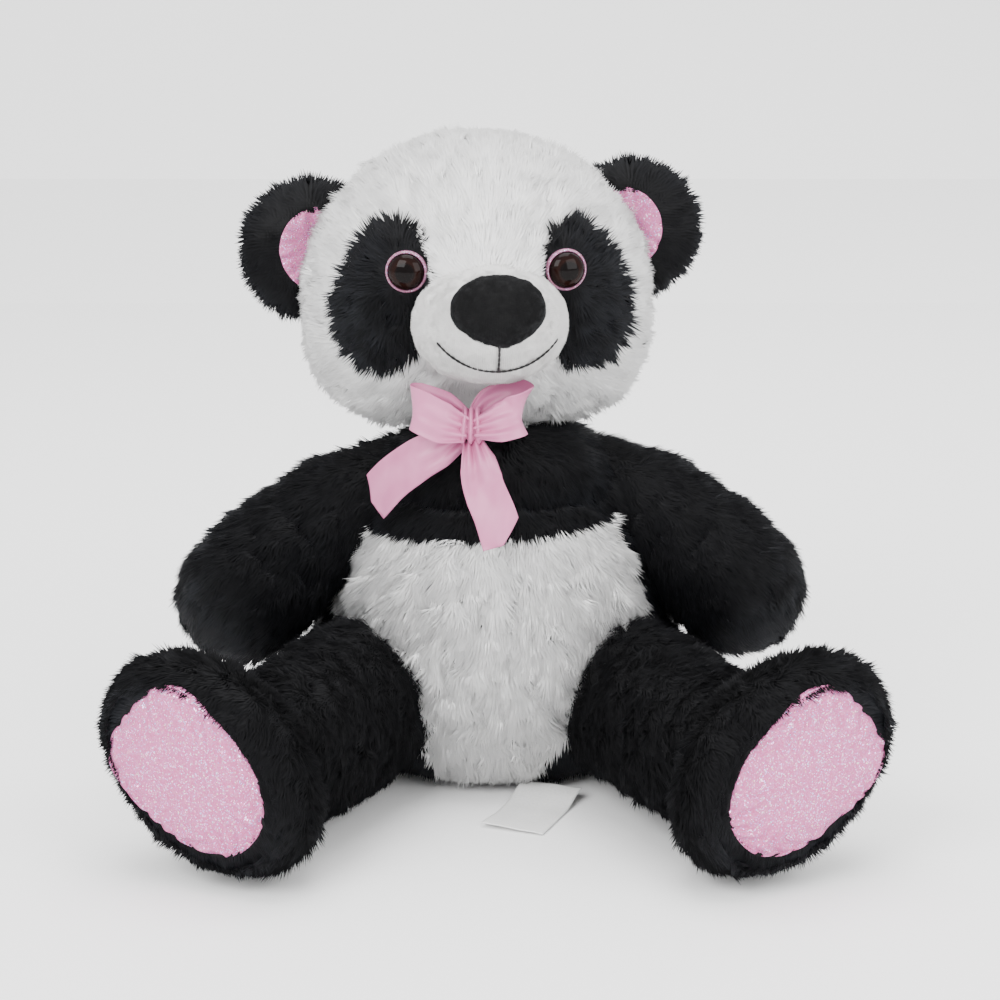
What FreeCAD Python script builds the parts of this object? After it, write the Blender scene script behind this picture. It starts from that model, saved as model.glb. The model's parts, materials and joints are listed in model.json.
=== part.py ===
import FreeCAD, Part
import math
import os
from FreeCAD import Rotation, Vector

os.makedirs("parts", exist_ok=True)

# A seated plush panda in millimetres, facing -Y, with +X on the panda's own left.
# The origin is the middle of the flat seat. Soft pieces are plain closed forms: the outer
# faces are where the tips of the fur stand, and each fur panel is one pile thick.

# Cloth and clearances
pile = 8.0                 # backing cloth plus pile
short_pile = 3.0           # velvet cover of the muzzle and the nose
pocket_gap = 0.8           # room between a limb and the hollow that it turns in
ribbon_width = 25.0
ribbon_thickness = 0.9

# Torso: an upright egg with a flat seat
torso_radius = 113.0
torso_half_height = 125.0
torso_middle = 85.0        # height of its widest level
seat_radius = 72.0
back_seam_y = 25.0         # where the flanks end and the back panels start
belly_top = 160.0
chest_half_width = 72.0
stitch_bottom = 70.0
stitch_step = 7.0

# Neck ball, inside the bottom of the head and the top of the torso
neck_radius = 36.0
neck_height = 213.0

# Head: an egg lying on its side, a little to the panda's right, turned to its left
head_center = Vector(-9.0, 0.0, 300.0)
head_half_width = 107.0
head_radius = 90.0
head_turn = 4.5
face_strip_half_width = 36.0
head_seam_y = 12.0

# Face, measured from the middle of the head
muzzle_center = Vector(2.0, -77.0, -14.0)
muzzle_radius = 46.0
muzzle_half_height = 36.0
nose_center = Vector(3.5, -112.0, 3.0)
nose_half_size = (26.5, 20.5, 20.5)
mouth_radius = 44.5
mouth_drop = 22.0          # the smile's lowest point, below the middle of the muzzle
smile_height = 17.5        # from the lowest point to the two corners
thread = 1.2
patch_center = (58.0, 6.0)
patch_half_size = (27.0, 47.0)
patch_lean = 12.0
eye_spacing = 46.0
eye_height = 17.0
eye_sink = 4.0             # how far the ring stands inside the tips of the fur
eye_splay = 12.0           # how far each eye looks outwards
ring_radius = 12.5
dome_radius = 10.6
ring_depth = 3.0
dome_rise = 6.5
post_radius = 2.5
post_length = 17.0
washer_radius = 9.0
washer_thickness = 2.0

# Ears, measured from the middle of the head
ear_radius = 43.0
ear_half_thickness = 14.0
ear_lining_radius = 25.0
ear_lining_depth = 3.0
ear_clearance = 3.6        # keeps the folded ear off the head
ear_places = {"left": Vector(94.0, 10.0, 27.0), "right": Vector(-99.0, 10.0, 17.0)}

# Arms, given for the left side
shoulder = Vector(78.0, -4.0, 160.0)
paw = Vector(142.0, -50.0, 125.5)
arm_root_radius = 39.4
paw_radius = 38.4
arm_swing = 60.0
arm_pocket_gap = 1.4

# Legs, given for the left side
hip = Vector(78.0, -60.0, 53.5)
ankle = Vector(134.0, -190.0, 52.5)
thigh_radius = 53.0
ankle_radius = 48.0
leg_swing = 12.0
foot_center = Vector(150.0, -207.0, 68.0)
foot_half_length = 78.0
foot_radius = 50.0
foot_lean = 47.0           # how far the toes lean outwards
foot_yaw = 25.0            # how far the sole faces outwards
sole_distance = 38.0       # from the middle of the foot to the sole
pad_half_length = 54.0
pad_half_width = 32.0

# Bow, ribbon and sewn-in label
knot_center = Vector(-14.0, -83.0, 221.0)
knot_size = Vector(15.0, 11.0, 18.0)
loop_depth = 13.0
loop_lengths = {"left": 28.0, "right": 34.0}
loop_tilts = {"left": -14.0, "right": 32.0}
band_radius = 55.0
band_height = 9.0
band_bottom = 203.5
tail_lengths = {"left": 90.0, "right": 74.0}
tail_spans = {"left": Vector(0.20, -0.30, -0.93), "right": Vector(-0.76, 0.27, -0.58)}
tail_normals = {"left": Vector(0.10, -0.95, 0.0), "right": Vector(-0.42, -0.90, 0.0)}
tail_gap = 5.0
tail_clearance = 1.5
label_clearance = 3.2      # keeps the lifted label off the belly
label_length = 68.0
label_width = 38.0
label_thickness = 0.8
label_turn = -21.0
label_seam = Vector(29.0, -87.0, 6.0)
label_dip = 4.3            # how steeply it slopes from the seam to the floor

sides = {"left": 1.0, "right": -1.0}
far = 400.0
x_axis = Vector(1, 0, 0)
z_axis = Vector(0, 0, 1)
centre = Vector(0, 0, 0)


def mirrored(point, side):
    return Vector(point.x * sides[side], point.y, point.z)


def box(x0, x1, y0, y1, z0, z1):
    return Part.makeBox(x1 - x0, y1 - y0, z1 - z0, Vector(x0, y0, z0))


def lathe(edges, start, end):
    """Solid of revolution about X, its profile moved so that X runs from start to end."""
    face = Part.Face(Part.Wire(edges))
    solid = face.revolve(centre, x_axis, 360)
    solid.Placement = FreeCAD.Placement(start, Rotation(x_axis, end.sub(start)))
    return solid


def egg(middle, axis, half_length, radius, seam=Vector(1, 0, 0)):
    """Ellipsoid that is round about its axis; its surface closes on the side of seam."""
    stretch = FreeCAD.Matrix()
    stretch.scale(1, 1, half_length / radius)
    solid = Part.makeSphere(radius).transformGeometry(stretch)
    solid.Placement = FreeCAD.Placement(middle, Rotation(seam, Vector(), axis, "ZXY"))
    return solid


def cushion(middle, half_width, half_depth, half_height):
    """Ellipsoid of three sizes, its poles in front and behind."""
    stretch = FreeCAD.Matrix()
    stretch.scale(half_width, half_depth, half_height)
    ball = Part.makeSphere(1)
    ball.rotate(centre, x_axis, 90)
    solid = ball.transformGeometry(stretch)
    solid.translate(middle)
    return solid


def tapered_pill(start, end, start_radius, end_radius):
    """Two balls and the cone that is tangent to both."""
    length = end.sub(start).Length
    lean = math.asin((start_radius - end_radius) / length)
    s, c = math.sin(lean), math.cos(lean)
    half = math.pi / 4 + lean / 2
    first = Part.Arc(
        Vector(-start_radius, 0, 0),
        Vector(-start_radius * math.cos(half), start_radius * math.sin(half), 0),
        Vector(start_radius * s, start_radius * c, 0))
    half = math.pi / 4 - lean / 2
    last = Part.Arc(
        Vector(length + end_radius * s, end_radius * c, 0),
        Vector(length + end_radius * math.cos(half), end_radius * math.sin(half), 0),
        Vector(length + end_radius, 0, 0))
    edges = [first.toShape(), Part.makeLine(first.EndPoint, last.StartPoint), last.toShape(),
             Part.makeLine(last.EndPoint, first.StartPoint)]
    return lathe(edges, start, end)


def turned(shape, about, axis, angle):
    copy = shape.copy()
    copy.rotate(about, axis, angle)
    return copy


def half_space(point, outward):
    """A block that fills everything on one side of a plane."""
    return Part.makeCylinder(far, far, point, outward)


def in_head(shape):
    """Move a shape from the head's own frame to its place."""
    shape.rotate(centre, z_axis, head_turn)
    shape.translate(head_center)
    return shape


def save(name, shape):
    solids = sorted(shape.Solids, key=lambda solid: solid.Volume)
    solid = solids[-1]
    solid.exportStep("parts/" + name + ".step")
    if len(solids) > 1:
        loose = sum(piece.Volume for piece in solids[:-1])
        print(name, "left out", round(loose), "cubic millimetres in", len(solids) - 1, "bits")


def divide(shell, regions, place=Part.Shape.copy):
    """Save one panel for each region, each cut from what the ones before it left."""
    last = list(regions)[-1]
    for name, region in regions.items():
        save(name, place(shell.common(region)))
        if name != last:
            shell = shell.cut(region)


# Torso

def torso_form(inset):
    form = egg(Vector(0, 0, torso_middle), z_axis, torso_half_height - inset, torso_radius - inset)
    return form.common(box(-far, far, -far, far, inset, far))


def arm_form(side, grow):
    return tapered_pill(mirrored(shoulder, side), mirrored(paw, side),
                        arm_root_radius + grow, paw_radius + grow)


def leg_form(side, grow):
    return tapered_pill(mirrored(hip, side), mirrored(ankle, side),
                        thigh_radius + grow, ankle_radius + grow)


def hip_axis(side):
    """Level and square to the leg, so that a positive turn lifts the foot."""
    along = mirrored(ankle.sub(hip), side)
    return Vector(along.y, -along.x, 0).normalize()


def sweep(form, about, axis, travel):
    return [turned(form, about, axis, travel * share) for share in (0, 0.5, 1)]


def carve(shape, hollows):
    for hollow in hollows:
        shape = shape.cut(hollow)
    return shape


def pockets():
    """The hollows that the limbs and the neck turn in."""
    hollows = [Part.makeSphere(neck_radius + pocket_gap, Vector(0, 0, neck_height))]
    for side in sides:
        hollows += sweep(arm_form(side, arm_pocket_gap), mirrored(shoulder, side),
                         Vector(-1, 0, 0), arm_swing)
        hollows += sweep(leg_form(side, pocket_gap), mirrored(hip, side),
                         hip_axis(side), leg_swing)
    return hollows


def belly_region():
    """Shield: nearly straight across the chest, widest at the waist, narrow at the seat."""
    depth = -far

    def at(x, z):
        return Vector(x, depth, z)

    right = Part.BSplineCurve()
    right.interpolate([at(-chest_half_width, belly_top), at(-91, 114), at(-60, 66), at(-26, -5)])
    left = Part.BSplineCurve()
    left.interpolate([at(28, -5), at(62, 70), at(88, 120), at(chest_half_width, belly_top)])
    edges = [right.toShape(), Part.makeLine(right.EndPoint, left.StartPoint), left.toShape(),
             Part.makeLine(left.EndPoint, right.StartPoint)]
    return Part.Face(Part.Wire(edges)).extrude(Vector(0, far - 45, 0))


def seat_region():
    """Disc under the stuffing, with the strip that comes up in front between the legs."""
    strip = box(-66, 66, -far, -60, 0, 36)
    return Part.makeCylinder(seat_radius, pile).fuse(strip)


def label():
    """A folded satin label that slopes from the seat's front seam to the floor."""
    strip = box(-label_width / 2, label_width / 2, -label_length, 0, 0, label_thickness)
    strip.rotate(centre, x_axis, label_dip)
    strip.rotate(centre, z_axis, label_turn)
    strip.translate(label_seam)
    return strip


def closing_stitches():
    """Ladder of threads over the middle seam of the back, where the stuffing went in."""
    half = thread / 2
    threads = box(-half, half, 0, far, stitch_bottom, stitch_bottom + 8 * stitch_step)
    for step in range(9):
        level = stitch_bottom + stitch_step * step
        threads = threads.fuse(box(-5, 5, 0, far, level - half, level + half))
    return threads.common(torso_form(-thread / 2).cut(torso_form(0)))


torso_hollows = pockets()
torso_outer = carve(torso_form(0), torso_hollows)
torso_inner = torso_form(pile)
save("torso_stuffing", carve(torso_inner, torso_hollows))

torso_regions = {
    "belly_panel": belly_region(),
    "seat_panel": seat_region(),
    "chest_panel": box(-chest_half_width, chest_half_width, -far, 0, belly_top - 20, far),
    "back_panel_left": box(0, far, back_seam_y, far, 0, far),
    "back_panel_right": box(-far, 0, back_seam_y, far, 0, far),
    "flank_left": box(0, far, -far, back_seam_y, 0, far),
    "flank_right": box(-far, 0, -far, back_seam_y, 0, far),
}
divide(torso_outer.cut(torso_inner), torso_regions)
save("closing_stitches", closing_stitches())
save("care_label", label().cut(torso_form(-label_clearance)))

# Neck and head

head_form = {inset: egg(centre, x_axis, head_half_width - inset, head_radius - inset, z_axis)
             for inset in (0, pile, -ear_clearance)}
neck_socket = Part.makeSphere(neck_radius + pocket_gap, Vector(0, 0, neck_height))
neck_socket.translate(head_center.negative())
neck_socket.rotate(centre, z_axis, -head_turn)
save("neck_stuffing", Part.makeSphere(neck_radius, Vector(0, 0, neck_height)))


def upright_ellipse_prism(half_width, half_height, lean, middle_x, middle_z):
    """Prism towards -Y whose section is an ellipse that leans by an angle about Y."""
    curve = Part.Ellipse(Vector(0, 0, half_height), Vector(half_width, 0, 0), centre)
    prism = Part.Face(Part.Wire(curve.toShape())).extrude(Vector(0, -far, 0))
    prism.rotate(centre, Vector(0, 1, 0), lean)
    prism.translate(Vector(middle_x, 0, middle_z))
    return prism


def eye_frame(side, shape):
    """Move an eye piece, built looking along -Y from the origin, to its socket."""
    x = eye_spacing * sides[side]
    across = (x / head_half_width) ** 2 + (eye_height / head_radius) ** 2
    depth = head_radius * math.sqrt(1 - across) - eye_sink
    shape.rotate(centre, z_axis, eye_splay * sides[side])
    shape.translate(Vector(x, -depth, eye_height))
    return shape


def eye_pieces(side):
    """Safety eye: glitter ring, dark dome, post through the cloth and locking washer."""
    forward = Vector(0, -1, 0)
    ring = Part.makeCylinder(ring_radius, ring_depth, centre, forward)
    ring = ring.cut(Part.makeCylinder(dome_radius, ring_depth, centre, forward))
    ball_radius = (dome_radius ** 2 + dome_rise ** 2) / (2 * dome_rise)
    ball = Part.makeSphere(ball_radius, Vector(0, ball_radius - dome_rise, 0))
    dome = ball.common(Part.makeCylinder(dome_radius, far, centre, forward))
    post = Part.makeCylinder(post_radius, post_length, Vector(0, post_length, 0), forward)
    washer = Part.makeCylinder(washer_radius, washer_thickness, Vector(0, 11, 0), forward)
    washer = washer.cut(Part.makeCylinder(post_radius, far, Vector(0, far / 2, 0), forward))
    pieces = {"ring": ring, "dome": dome, "post": post, "washer": washer}
    for piece in pieces.values():
        eye_frame(side, piece)
    return pieces


muzzle_form = {inset: egg(muzzle_center, z_axis, muzzle_half_height - inset, muzzle_radius - inset)
               for inset in (0, short_pile, -thread / 2)}
nose_form = {inset: cushion(nose_center, *[half - inset for half in nose_half_size])
             for inset in (0, short_pile)}
eyes = {side: eye_pieces(side) for side in sides}
eye_holes = [eye_frame(side, Part.makeCylinder(ring_radius, far, centre, Vector(0, -1, 0)))
             for side in sides]
eye_fittings = [piece for pieces in eyes.values() for piece in pieces.values()]

head_shell = carve(head_form[0], [head_form[pile], neck_socket] + eye_holes + eye_fittings)
head_regions = {
    "eye_patch_left": upright_ellipse_prism(*patch_half_size, -patch_lean, *patch_center),
    "eye_patch_right": upright_ellipse_prism(*patch_half_size, patch_lean,
                                             -patch_center[0], patch_center[1]),
    "head_back_left": box(0, far, head_seam_y, far, -far, far),
    "head_back_right": box(-far, 0, head_seam_y, far, -far, far),
    "face_strip": box(-face_strip_half_width, face_strip_half_width, -far, far, -far, far),
    "cheek_left": box(0, far, -far, far, -far, far),
    "cheek_right": box(-far, 0, -far, far, -far, far),
}
divide(head_shell, head_regions, in_head)
save("head_stuffing", in_head(carve(head_form[pile], [neck_socket] + eye_holes + eye_fittings)))

save("muzzle_cover", in_head(muzzle_form[0].cut([muzzle_form[short_pile], head_form[0]])))
save("muzzle_stuffing", in_head(muzzle_form[short_pile].cut(head_form[0])))
save("nose_cover", in_head(nose_form[0].cut([nose_form[short_pile], muzzle_form[0]])))
save("nose_stuffing", in_head(nose_form[short_pile].cut(muzzle_form[0])))


def mouth():
    """Embroidered smile with a short line up to the nose, laid on the muzzle's face."""
    middle = Vector(muzzle_center.x, 0, muzzle_center.z - mouth_drop + mouth_radius)
    toward = Vector(0, -1, 0)
    rim = Part.makeCylinder(mouth_radius + thread / 2, far, middle, toward)
    rim = rim.cut(Part.makeCylinder(mouth_radius - thread / 2, far, middle, toward))
    lowest = middle.z - mouth_radius
    smile = rim.common(box(-far, far, -far, 0, -far, lowest + smile_height))
    line = box(middle.x - thread / 2, middle.x + thread / 2, -far, 0, lowest, nose_center.z)
    skin = muzzle_form[-thread / 2].cut([muzzle_form[0], head_form[0], nose_form[0]])
    return skin.common(smile.fuse(line))


save("mouth_thread", in_head(mouth()))
for side in sides:
    for name, piece in eyes[side].items():
        save("eye_" + name + "_" + side, in_head(piece))

# Ears

for side, place in ear_places.items():
    toward = Vector(0, 1, 0)
    outer = egg(place, toward, ear_half_thickness, ear_radius)
    inner = egg(place, toward, ear_half_thickness - 4, ear_radius - 4)
    middle = place.add(Vector(-5 * sides[side], 0, 0))
    front = Part.makeCylinder(ear_lining_radius, far, middle, Vector(0, -1, 0))
    keep_off = head_form[-ear_clearance]
    save("ear_fur_" + side, in_head(outer.cut([inner, front, keep_off])))
    save("ear_lining_" + side, in_head(outer.cut([inner, keep_off]).common(front)))
    save("ear_stuffing_" + side, in_head(inner.cut(keep_off)))

# Arms: an outer and an inner fur panel over the stuffing

for side in sides:
    outer = arm_form(side, 0)
    inner = arm_form(side, -pile)
    along = mirrored(paw.sub(shoulder), side)
    across = along.cross(z_axis).normalize()
    half = half_space(mirrored(shoulder, side), across * sides[side])
    shell = outer.cut(inner)
    save("arm_back_fur_" + side, shell.cut(half))
    save("arm_front_fur_" + side, shell.common(half))
    save("arm_stuffing_" + side, inner)

# Legs: fur, stuffing and the glitter pad on the sole


def foot_axes(side):
    """The sole's outward direction and the direction from heel to toes."""
    yaw = math.radians(foot_yaw)
    lean = math.radians(foot_lean)
    sole = Vector(math.sin(yaw), -math.cos(yaw), 0)
    level = Vector(math.cos(yaw), math.sin(yaw), 0)
    toes = level.multiply(math.sin(lean)).add(z_axis * math.cos(lean))
    return mirrored(sole, side), mirrored(toes, side)


def foot_form(side, inset):
    sole, toes = foot_axes(side)
    lump = egg(mirrored(foot_center, side), toes, foot_half_length - inset, foot_radius - inset,
               sole)
    return leg_form(side, -inset).fuse(lump)


def beyond(side, distance):
    """Everything in front of a plane that is parallel to the sole."""
    sole, toes = foot_axes(side)
    start = mirrored(foot_center, side).add(sole * distance)
    return Part.makeCylinder(far, far, start, sole)


def pad_prism(side, half_length, half_width, start, depth):
    sole, toes = foot_axes(side)
    middle = mirrored(foot_center, side).add(sole * start)
    end = middle.add(toes * half_length)
    flank = middle.add(sole.cross(toes).normalize() * half_width)
    curve = Part.Ellipse(end, flank, middle)
    return Part.Face(Part.Wire(curve.toShape())).extrude(sole * depth)


for side in sides:
    outer = foot_form(side, 0).cut(beyond(side, sole_distance))
    inner = foot_form(side, pile).cut(beyond(side, sole_distance - pile))
    pad = pad_prism(side, pad_half_length, pad_half_width, sole_distance - pile, pile)
    shell = carve(outer, [inner, pad])
    half = half_space(mirrored(hip, side), hip_axis(side) * -sides[side])
    save("leg_outer_fur_" + side, shell.common(half))
    save("leg_inner_fur_" + side, shell.cut(half))
    save("leg_stuffing_" + side, inner)
    save("foot_pad_" + side, pad.common(outer))

# Ribbon: band round the neck, knot, two loops and two tails

band = Part.makeCylinder(band_radius, band_height, Vector(0, 0, band_bottom))
band = band.cut(Part.makeCylinder(band_radius - ribbon_thickness, band_height,
                                  Vector(0, 0, band_bottom)))
knot = box(-knot_size.x / 2, knot_size.x / 2, -knot_size.y / 2, knot_size.y / 2,
           -knot_size.z / 2, knot_size.z / 2)
knot = knot.makeFillet(3.5, knot.Edges)
knot.translate(knot_center)
save("neck_ribbon", band)
save("bow_knot", knot)


def loop_outline(length, depth):
    """Teardrop from its point at the origin, along +X."""
    curve = Part.BSplineCurve()
    curve.interpolate([centre, Vector(length * 0.6, depth / 2, 0), Vector(length, 0, 0),
                       Vector(length * 0.6, -depth / 2, 0), centre])
    return Part.Face(Part.Wire(curve.toShape()))


bow = [knot]
for side in sides:
    length = loop_lengths[side]
    solid = loop_outline(length, loop_depth).extrude(Vector(0, 0, ribbon_width))
    hole = loop_outline(length - 2.4 * ribbon_thickness, loop_depth - 2 * ribbon_thickness)
    hole = hole.extrude(Vector(0, 0, ribbon_width))
    hole.translate(Vector(1.2 * ribbon_thickness, 0, 0))
    ring = solid.cut(hole)
    ring.translate(Vector(0, 0, -ribbon_width / 2))
    if side == "right":
        ring.rotate(centre, z_axis, 180)
    ring.rotate(centre, Vector(0, 1, 0), loop_tilts[side])
    ring.translate(knot_center.add(Vector(0, 0, 2)))
    loop = carve(ring, bow)
    save("bow_loop_" + side, loop)
    bow.append(loop)

keep_off = list(bow)
for loop in bow[1:]:
    for shift in (tail_clearance, -tail_clearance):
        keep_off += [loop.translated(Vector(0, shift, 0)), loop.translated(Vector(0, 0, shift))]

for side in sides:
    tail_length = tail_lengths[side]
    span = Vector(tail_spans[side]).normalize()
    normal = tail_normals[side]
    across = span.cross(normal).normalize()
    face = across.cross(span).normalize()
    root = knot_center.add(span * (knot_size.z / 2 + tail_gap))
    corners = [root.sub(across * (ribbon_width * 0.3)), root.add(across * (ribbon_width * 0.3)),
               root.add(across * (ribbon_width / 2)).add(span * (0.4 * tail_length)),
               root.add(across * (ribbon_width / 2)).add(span * (tail_length - 14)),
               root.sub(across * (ribbon_width / 2)).add(span * tail_length),
               root.sub(across * (ribbon_width / 2)).add(span * (0.4 * tail_length))]
    outline = Part.makePolygon(corners + corners[:1])
    save("bow_tail_" + side, carve(Part.Face(outline).extrude(face * ribbon_thickness), keep_off))
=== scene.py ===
import json
import math
import random

import bmesh
import bpy
from mathutils import Matrix, Vector, noise

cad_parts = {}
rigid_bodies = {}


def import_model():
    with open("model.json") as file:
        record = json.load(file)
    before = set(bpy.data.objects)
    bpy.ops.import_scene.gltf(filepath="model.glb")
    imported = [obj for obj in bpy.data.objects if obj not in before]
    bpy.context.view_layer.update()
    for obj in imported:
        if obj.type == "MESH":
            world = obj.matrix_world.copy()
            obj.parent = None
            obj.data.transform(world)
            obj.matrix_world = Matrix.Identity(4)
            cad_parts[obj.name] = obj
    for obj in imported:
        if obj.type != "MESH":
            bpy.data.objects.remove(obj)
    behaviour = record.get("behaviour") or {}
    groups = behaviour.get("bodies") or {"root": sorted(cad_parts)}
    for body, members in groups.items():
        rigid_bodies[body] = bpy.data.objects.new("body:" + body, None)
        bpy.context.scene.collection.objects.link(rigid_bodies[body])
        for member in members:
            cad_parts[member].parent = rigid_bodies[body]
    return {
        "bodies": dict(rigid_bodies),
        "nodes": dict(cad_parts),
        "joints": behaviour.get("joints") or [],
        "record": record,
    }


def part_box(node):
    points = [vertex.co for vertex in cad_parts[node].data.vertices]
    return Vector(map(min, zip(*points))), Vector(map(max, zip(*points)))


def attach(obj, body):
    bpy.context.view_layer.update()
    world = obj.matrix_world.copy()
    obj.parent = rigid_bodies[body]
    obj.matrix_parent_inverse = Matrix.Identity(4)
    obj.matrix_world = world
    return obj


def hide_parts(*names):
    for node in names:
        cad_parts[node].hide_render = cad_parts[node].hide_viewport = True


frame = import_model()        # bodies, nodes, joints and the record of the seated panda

noise.seed_set(4)        # without a seed noise_vector starts from the clock
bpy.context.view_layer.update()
metre = 0.001            # everything below is built in millimetres and scaled once, at the end
sides = {"left": 1, "right": -1}
seamHalf = 3.0           # a cover is held this far each side of a seam


# places, forms and finished pieces

def middleOf(*names):
    lows, highs = zip(*[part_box(name) for name in names])
    low = Vector([min(corner[axis] for corner in lows) for axis in range(3)])
    high = Vector([max(corner[axis] for corner in highs) for axis in range(3)])
    return (low + high) / 2 / metre


def jointPlace(name):
    joint = next(each for each in frame["joints"] if each["name"] == name)
    return Vector(joint["pos_m"]) / metre


def smoothStep(low, high, value):
    share = min(1.0, max(0.0, (value - low) / (high - low)))
    return share * share * (3 - 2 * share)


def flatten(vector, normal):       # the part of a vector that lies in the surface
    return vector - normal * vector.dot(normal)


def meshFrom(bm, name):
    mesh = bpy.data.meshes.new(name)
    bm.to_mesh(mesh)
    bm.free()
    return mesh


def bake(mesh, modifiers):         # runs modifiers on a mesh and returns the result
    carrier = bpy.data.objects.new("carrier", mesh)
    bpy.context.collection.objects.link(carrier)
    for kind, values in modifiers:
        modifier = carrier.modifiers.new(kind.lower(), kind)
        for key, value in values.items():
            setattr(modifier, key, value)
    graph = bpy.context.evaluated_depsgraph_get()
    done = bpy.data.meshes.new_from_object(carrier.evaluated_get(graph))
    bpy.data.objects.remove(carrier)
    return done


def evenForm(bm, voxel, softening=6):
    return bake(meshFrom(bm, "form"), [
        ("REMESH", dict(mode="VOXEL", voxel_size=voxel, adaptivity=0.0)),
        ("SMOOTH", dict(factor=0.5, iterations=softening)),
    ])


def puff(mesh, seam, pressure=4.0, grown=0.03, cap=4.0, frames=20):
    # the sewn cover fills out under the stuffing's pressure, held where seam(point) is true
    scene = bpy.context.scene
    start = [vert.co.copy() for vert in mesh.vertices]
    mesh.transform(Matrix.Scale(metre, 4))
    cover = bpy.data.objects.new("cover", mesh)
    scene.collection.objects.link(cover)
    held = cover.vertex_groups.new(name="held")
    held.add([index for index, point in enumerate(start) if seam(point)], 1.0, "REPLACE")
    cloth = cover.modifiers.new("cloth", "CLOTH")
    for key, value in dict(quality=5, mass=0.25, tension_stiffness=12, compression_stiffness=12,
                           shear_stiffness=8, bending_stiffness=0.5, use_pressure=True,
                           uniform_pressure_force=pressure, vertex_group_mass="held",
                           shrink_min=-grown).items():
        setattr(cloth.settings, key, value)
    cloth.settings.effector_weights.gravity = 0
    cloth.point_cache.frame_end = frames
    for frame in range(1, frames + 1):
        scene.frame_set(frame)
    graph = bpy.context.evaluated_depsgraph_get()
    done = bpy.data.meshes.new_from_object(cover.evaluated_get(graph))
    bpy.data.objects.remove(cover)
    scene.frame_set(1)
    furthest = 0.0
    for vert, before in zip(done.vertices, start):
        moved = vert.co / metre - before
        furthest = max(furthest, moved.length)
        vert.co = before + moved * min(1.0, cap / max(moved.length, 1e-6))
    print("puffed", len(start), "points, furthest", round(furthest, 2), "mm")
    return done


def coarseForm(bm, seam, voxel, **pressing):
    # a remeshed cover, puffed, then made fine enough to carry the pile
    cover = puff(evenForm(bm, 5.0, 3), seam, **pressing)
    return bake(cover, [
        ("SUBSURF", dict(levels=1, render_levels=1)),
        ("REMESH", dict(mode="VOXEL", voxel_size=voxel, adaptivity=0.0)),
        ("SMOOTH", dict(factor=0.5, iterations=4)),
    ])


def makePiece(mesh, name, body, material, replaced, place=Matrix()):
    mesh.transform(Matrix.Scale(metre, 4) @ place)
    mesh.materials.clear()
    mesh.materials.append(material)
    mesh.polygons.foreach_set("use_smooth", [True] * len(mesh.polygons))
    mesh.update()
    piece = bpy.data.objects.new(name, mesh)
    bpy.context.collection.objects.link(piece)
    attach(piece, body)
    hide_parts(*replaced)
    return piece


def addEgg(bm, middle, radii, turn=None, subdivisions=5):
    made = bmesh.ops.create_icosphere(bm, subdivisions=subdivisions, radius=1)["verts"]
    bmesh.ops.scale(bm, vec=radii, verts=made)
    if turn is not None:
        bmesh.ops.rotate(bm, cent=(0, 0, 0), matrix=turn, verts=made)
    bmesh.ops.translate(bm, vec=middle, verts=made)


def addLimb(bm, stations):         # hulls of neighbouring balls, for a bent tapered limb
    for (start, startRadius), (end, endRadius) in zip(stations, stations[1:]):
        hull = bmesh.new()
        addEgg(hull, start, [startRadius] * 3, subdivisions=4)
        addEgg(hull, end, [endRadius] * 3, subdivisions=4)
        bmesh.ops.convex_hull(hull, input=hull.verts)
        loose = [vert for vert in hull.verts if not vert.link_faces]
        bmesh.ops.delete(hull, geom=loose, context="VERTS")
        piece = meshFrom(hull, "hull")
        bm.from_mesh(piece)


def editable(mesh):
    bm = bmesh.new()
    bm.from_mesh(mesh)
    return bm


# finishes: pile, cloth, glitter, satin and eye plastic

def newMaterial(name):
    material = bpy.data.materials.new(name)
    material.use_nodes = True
    tree = material.node_tree
    return material, tree, tree.nodes["Principled BSDF"]


def setInputs(node, **values):
    for key, value in values.items():
        node.inputs[key.replace("_", " ")].default_value = value


def addNode(tree, kind, **values):
    node = tree.nodes.new(kind)
    for key, value in values.items():
        setattr(node, key, value)
    return node


def addRamp(tree, stops):
    ramp = tree.nodes.new("ShaderNodeValToRGB")
    points = ramp.color_ramp.elements
    while len(points) < len(stops):
        points.new(0.5)
    for point, (place, colour) in zip(points, stops):
        point.position = place
        point.color = (*colour, 1)
    return ramp


def mixColour(tree, first, second, factor, blend="MIX"):
    mix = tree.nodes.new("ShaderNodeMix")
    mix.data_type = "RGBA"
    mix.blend_type = blend
    for socket, value in ((mix.inputs[6], first), (mix.inputs[7], second), (mix.inputs[0], factor)):
        if isinstance(value, bpy.types.NodeSocket):
            tree.links.new(value, socket)
        elif isinstance(value, tuple):
            socket.default_value = (*value, 1)
        else:
            socket.default_value = value
    return mix.outputs[2]


def cloudGroup():                  # a cloud of noise fixed to the piece
    group = bpy.data.node_groups.new("pieceCloud", "ShaderNodeTree")
    for name in ("Scale", "Detail", "Roughness"):
        group.interface.new_socket(name, in_out="INPUT", socket_type="NodeSocketFloat")
    group.interface.new_socket("Amount", in_out="OUTPUT", socket_type="NodeSocketFloat")
    entry = group.nodes.new("NodeGroupInput")
    leave = group.nodes.new("NodeGroupOutput")
    place = group.nodes.new("ShaderNodeTexCoord")
    cloud = group.nodes.new("ShaderNodeTexNoise")
    group.links.new(place.outputs["Object"], cloud.inputs["Vector"])
    for name in ("Scale", "Detail", "Roughness"):
        group.links.new(entry.outputs[name], cloud.inputs[name])
    group.links.new(cloud.outputs["Fac"], leave.inputs["Amount"])
    return group


pieceCloud = cloudGroup()


def addCloud(tree, scale, detail, roughness=0.5):
    cloud = addNode(tree, "ShaderNodeGroup", node_tree=pieceCloud)
    setInputs(cloud, Scale=scale, Detail=detail, Roughness=roughness)
    return cloud.outputs["Amount"]


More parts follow.
